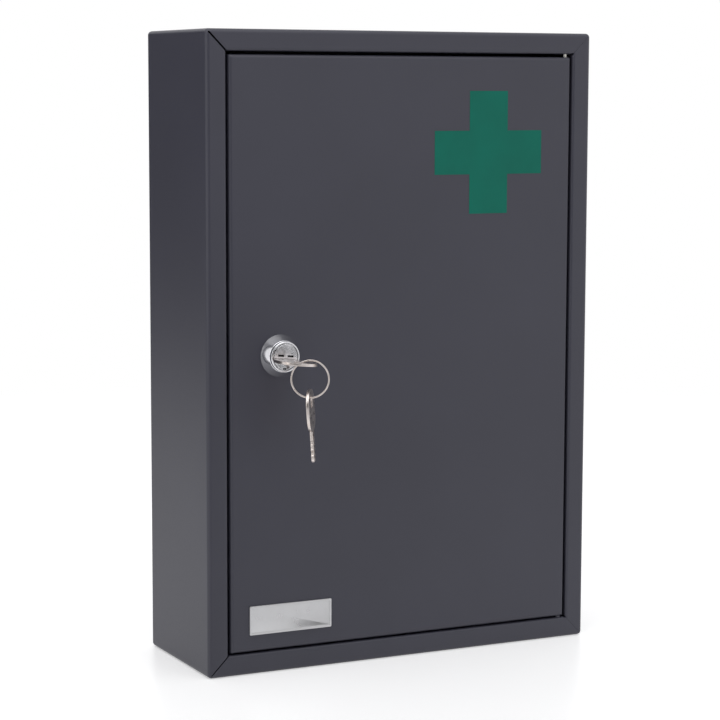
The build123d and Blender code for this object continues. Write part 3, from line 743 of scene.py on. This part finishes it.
# ---------------------------------------------------------------- nameplate
def bordered_plate(sizes):
    """Nameplate with a raised, rounded border round a flat field that is left bare."""
    low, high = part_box("nameplate")
    width, height = high.x - low.x, high.z - low.z
    middle = (low + high) / 2
    back, face = high.y, low.y
    field = face + PLATE_RELIEF
    edge = sizes.plate_edge
    # (distance in from the rim, y) from the back, over the border and down to the field
    profile = [(0.0, back), (0.0, face + edge)]
    for i in range(1, PLATE_EDGE_STEPS + 1):
        turn = math.pi / 2 * i / PLATE_EDGE_STEPS
        profile.append((edge * (1 - math.cos(turn)), face + edge * (1 - math.sin(turn))))
    inner = sizes.plate_border - edge
    for i in range(PLATE_EDGE_STEPS + 1):
        turn = math.pi / 2 * i / PLATE_EDGE_STEPS
        profile.append((inner + edge * math.sin(turn), face + edge * (1 - math.cos(turn))))
    foot = sizes.plate_border + edge / 2
    profile += [(foot, field - edge / 4), (foot + edge / 3, field)]
    loops = []
    for inset, y in profile:
        outline = rounded_outline(
            width - 2 * inset, height - 2 * inset,
            max(PLATE_LEAST_CORNER, PLATE_CORNER - inset), PLATE_CORNER_STEPS,
        )
        loops.append([(middle.x + x, y, middle.z + z) for x, z in outline])
    return stitched("plate", loops)


# ---------------------------------------------------------------- stage
def aim(obj, target):
    """Turns a lamp or a screen so that it faces a point."""
    ahead = (Vector(target) - obj.location).normalized()
    side = ahead.cross(UP).normalized()
    turned = Matrix((side, side.cross(ahead), -ahead)).transposed()
    obj.rotation_euler = turned.to_euler()


def soft_box(name, place, target, width, height, power):
    """A large soft lamp."""
    lamp = bpy.data.lights.new(name, "AREA")
    lamp.shape = "RECTANGLE"
    lamp.size = width
    lamp.size_y = height
    lamp.energy = power
    obj = bpy.data.objects.new(name, lamp)
    obj.location = place
    aim(obj, target)
    bpy.context.scene.collection.objects.link(obj)


def screen_material():
    """Dull black cloth with a faint weave."""
    nodes = Nodes("black_cloth")
    weave = nodes.noise(scale=300.0, detail=3.0)
    nodes.fill(
        nodes.shader,
        Base_Color=nodes.tint(
            weave, dark=(0.006, 0.006, 0.006), light=(0.012, 0.012, 0.012)
        ),
        Roughness=0.95,
        Specular_IOR_Level=0.1,
    )
    return nodes.material


def dark_screen(name, place, target, width, height):
    """A black cloth screen that darkens reflections and stays out of the picture."""
    mesh = bpy.data.meshes.new(name)
    cloth = bmesh.new()
    bmesh.ops.create_grid(cloth, x_segments=SCREEN_CELLS, y_segments=SCREEN_CELLS, size=0.5)
    bmesh.ops.scale(cloth, vec=(width, height, 1.0), verts=cloth.verts)
    cloth.to_mesh(mesh)
    cloth.free()
    mesh.materials.append(bpy.data.materials.get("black_cloth") or screen_material())
    obj = bpy.data.objects.new(name, mesh)
    obj.location = place
    aim(obj, target)
    obj.visible_camera = False
    obj.visible_shadow = False
    bpy.context.scene.collection.objects.link(obj)


def studio_world(settings):
    """White to the camera and in reflections, softer as light on the cabinet."""
    world = bpy.data.worlds.new("studio_world")
    world.use_nodes = True
    tree = world.node_tree
    tree.nodes.clear()
    output = tree.nodes.new("ShaderNodeOutputWorld")
    mix = tree.nodes.new("ShaderNodeMixShader")
    for place, strength in ((1, settings.sky_strength), (2, 1.0)):
        light = tree.nodes.new("ShaderNodeBackground")
        light.inputs["Color"].default_value = WHITE
        light.inputs["Strength"].default_value = strength
        tree.links.new(light.outputs["Background"], mix.inputs[place])
    path = tree.nodes.new("ShaderNodeLightPath")
    seen = path.outputs["Is Camera Ray"]
    for ray in ("Is Glossy Ray", "Is Transmission Ray"):
        either = tree.nodes.new("ShaderNodeMath")
        either.operation = "MAXIMUM"
        tree.links.new(seen, either.inputs[0])
        tree.links.new(path.outputs[ray], either.inputs[1])
        seen = either.outputs["Value"]
    tree.links.new(seen, mix.inputs["Fac"])
    tree.links.new(mix.outputs["Shader"], output.inputs["Surface"])
    bpy.context.scene.world = world


def floor_material(settings):
    """Pale satin floor that fades into the white surroundings at its rim."""
    nodes = Nodes("pale_floor")
    path = nodes.add("ShaderNodeLightPath")
    seen = nodes.add("ShaderNodeMath", operation="MAXIMUM")
    nodes.link(path.outputs["Is Camera Ray"], seen.inputs[0])
    nodes.link(path.outputs["Is Glossy Ray"], seen.inputs[1])
    nodes.fill(
        nodes.shader,
        Base_Color=(*settings.floor_colour, 1.0),
        Roughness=0.32,
        IOR=1.35,
        Emission_Color=WHITE,
        Emission_Strength=nodes.spread(
            seen.outputs["Value"], low=0.0, high=settings.floor_lift, from_low=0.0, from_high=1.0
        ),
    )
    glow = nodes.add("ShaderNodeEmission")
    nodes.fill(glow, Color=WHITE, Strength=1.0)
    far = nodes.add("ShaderNodeVectorMath", operation="LENGTH")
    nodes.link(nodes.place, far.inputs[0])
    fade_start, fade_end = (settings.floor_radius * share for share in FLOOR_FADE)
    fade = nodes.spread(
        far.outputs["Value"], low=0.0, high=1.0, from_low=fade_start, from_high=fade_end
    )
    mix = nodes.add("ShaderNodeMixShader")
    nodes.link(fade, mix.inputs["Fac"])
    nodes.link(nodes.shader.outputs["BSDF"], mix.inputs[1])
    nodes.link(glow.outputs["Emission"], mix.inputs[2])
    nodes.link(mix.outputs["Shader"], nodes.output.inputs["Surface"])
    return nodes.material


def stage_floor(settings):
    """A round floor that the cabinet stands on."""
    mesh = bpy.data.meshes.new("floor")
    disc = bmesh.new()
    bmesh.ops.create_circle(
        disc, cap_ends=True, segments=FLOOR_SEGMENTS, radius=settings.floor_radius
    )
    disc.to_mesh(mesh)
    disc.free()
    floor = bpy.data.objects.new("floor", mesh)
    floor.location.z = -FLOOR_DROP
    mesh.materials.append(floor_material(settings))
    bpy.context.scene.collection.objects.link(floor)


def stage_camera(settings):
    """The camera, in the place and at the angles from which the cabinet is shown."""
    camera_data = bpy.data.cameras.new("camera")
    camera_data.lens = settings.lens
    camera_data.sensor_width = SENSOR_WIDTH
    camera = bpy.data.objects.new("camera", camera_data)
    yaw, pitch, roll = settings.camera_yaw, settings.camera_pitch, settings.camera_roll
    ahead = Vector(
        (math.sin(yaw) * math.cos(pitch), math.cos(yaw) * math.cos(pitch), -math.sin(pitch))
    )
    right = Vector((math.cos(yaw), -math.sin(yaw), 0.0))
    up = right.cross(ahead)
    level = right * math.cos(roll) + up * math.sin(roll)
    upright = level.cross(ahead)
    turned = Matrix((level, upright, -ahead)).transposed().to_4x4()
    camera.matrix_world = Matrix.Translation(settings.camera_place) @ turned
    bpy.context.scene.collection.objects.link(camera)
    bpy.context.scene.camera = camera


# ---------------------------------------------------------------- operators
class CABINET_OT_stage(bpy.types.Operator):
    """Makes the floor, the soft lights and the camera"""

    bl_idname = "cabinet.stage"
    bl_label = "Stage"

    def execute(self, context):
        settings = context.scene.cabinet_stage
        context.scene.view_settings.view_transform = "Standard"
        studio_world(settings)
        stage_floor(settings)
        for lamp in LAMPS:
            soft_box(*lamp)
        for screen in SCREENS:
            dark_screen(*screen)
        stage_camera(settings)
        return {"FINISHED"}


class CABINET_OT_folded_box(bpy.types.Operator):
    """Coats the folded cabinet box"""

    bl_idname = "cabinet.folded_box"
    bl_label = "Folded Box"

    def execute(self, context):
        coat_nodes("body_shell", "top_panel", "bottom_panel")
        return {"FINISHED"}


class CABINET_OT_door(bpy.types.Operator):
    """Coats the door and finishes its hinges"""

    bl_idname = "cabinet.door"
    bl_label = "Door and Hinges"

    def execute(self, context):
        coat_nodes(
            "door_panel", "door_hinge_bushes", "hinge_pin_top", "hinge_pin_bottom", "hinge_washer"
        )
        return {"FINISHED"}


class CABINET_OT_inside(bpy.types.Operator):
    """Finishes the shelves, their brackets and the door stops"""

    bl_idname = "cabinet.inside"
    bl_label = "Shelves and Stops"

    def execute(self, context):
        coat_nodes("shelf_lower", "shelf_upper", "shelf_brackets", "door_stops", "door_bumpers")
        return {"FINISHED"}


class CABINET_OT_lock(bpy.types.Operator):
    """Finishes the cam lock"""

    bl_idname = "cabinet.lock"
    bl_label = "Cam Lock"

    def execute(self, context):
        coat_nodes(
            "lock_collar", "lock_washer", "lock_nut", "lock_wafers", "wafer_springs",
            "cam_stop_washer", "lock_cam", "cam_lock_washer", "cam_screw",
        )
        metal = context.scene.cabinet_metal
        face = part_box("lock_plug")[0].y
        coat_node("lock_housing", lock_chrome(metal, "turned_chrome", turned=True))
        # the plug's chrome has painted shade in its slit and notch, deeper than its face
        coat_node("lock_plug", lock_chrome(metal, "turned_plug_chrome", turned=True, face=face))
        return {"FINISHED"}


class CABINET_OT_keys(bpy.types.Operator):
    """Makes the key in the lock, the spare key and the split ring"""

    bl_idname = "cabinet.keys"
    bl_label = "Keys and Ring"

    def execute(self, context):
        sizes = context.scene.cabinet_sizes
        for name, body, replaced, place in (
            ("lock_key", "key", "key_in_lock", lock_key_place(sizes)),
            ("hanging_key", "spare", "spare_key", spare_key_place(sizes)),
        ):
            mesh = key_blank(name, sizes)
            mesh.transform(place)
            piece(name, mesh, body, "nickel", replaced)
        piece("split_ring", split_ring("split_ring", sizes), "ring", "nickel", "key_ring")
        return {"FINISHED"}


class CABINET_OT_front_marks(bpy.types.Operator):
    """Finishes the nameplate and the cross"""

    bl_idname = "cabinet.front_marks"
    bl_label = "Nameplate and Cross"

    def execute(self, context):
        coat_nodes("cross_decal")
        plate = bordered_plate(context.scene.cabinet_sizes)
        piece("plate", plate, "door", "plate_silver", "nameplate")
        return {"FINISHED"}


class CABINET_PT_panel(bpy.types.Panel):
    """Lists the cabinet's settings and its operators"""

    bl_label = "Medicine Cabinet"
    bl_idname = "CABINET_PT_panel"
    bl_space_type = "VIEW_3D"
    bl_region_type = "UI"
    bl_category = "Cabinet"

    def draw(self, context):
        layout = self.layout
        for setting in GROUPS:
            group = getattr(context.scene, setting)
            box = layout.box()
            for name in group.__annotations__:
                box.prop(group, name)
        for operator in STEPS:
            layout.operator(operator.bl_idname)


STEPS = (
    CABINET_OT_stage,
    CABINET_OT_folded_box,
    CABINET_OT_door,
    CABINET_OT_inside,
    CABINET_OT_lock,
    CABINET_OT_keys,
    CABINET_OT_front_marks,
)
GROUPS = {
    "cabinet_coat": CabinetCoatSettings,
    "cabinet_metal": CabinetMetalSettings,
    "cabinet_sizes": CabinetSizeSettings,
    "cabinet_stage": CabinetStageSettings,
}


def register():
    """Registers the settings, the operators and the panel."""
    for name, group in GROUPS.items():
        bpy.utils.register_class(group)
        setattr(bpy.types.Scene, name, PointerProperty(type=group))
    for item in (*STEPS, CABINET_PT_panel):
        bpy.utils.register_class(item)


def unregister():
    """Takes everything out again."""
    for item in reversed((*STEPS, CABINET_PT_panel)):
        bpy.utils.unregister_class(item)
    for name, group in GROUPS.items():
        delattr(bpy.types.Scene, name)
        bpy.utils.unregister_class(group)


def main():
    """Makes the whole scene."""
    register()
    bpy.ops.cabinet.stage()
    bpy.ops.cabinet.folded_box()
    bpy.ops.cabinet.door()
    bpy.ops.cabinet.inside()
    bpy.ops.cabinet.lock()
    bpy.ops.cabinet.keys()
    bpy.ops.cabinet.front_marks()


if __name__ == "__main__":
    main()
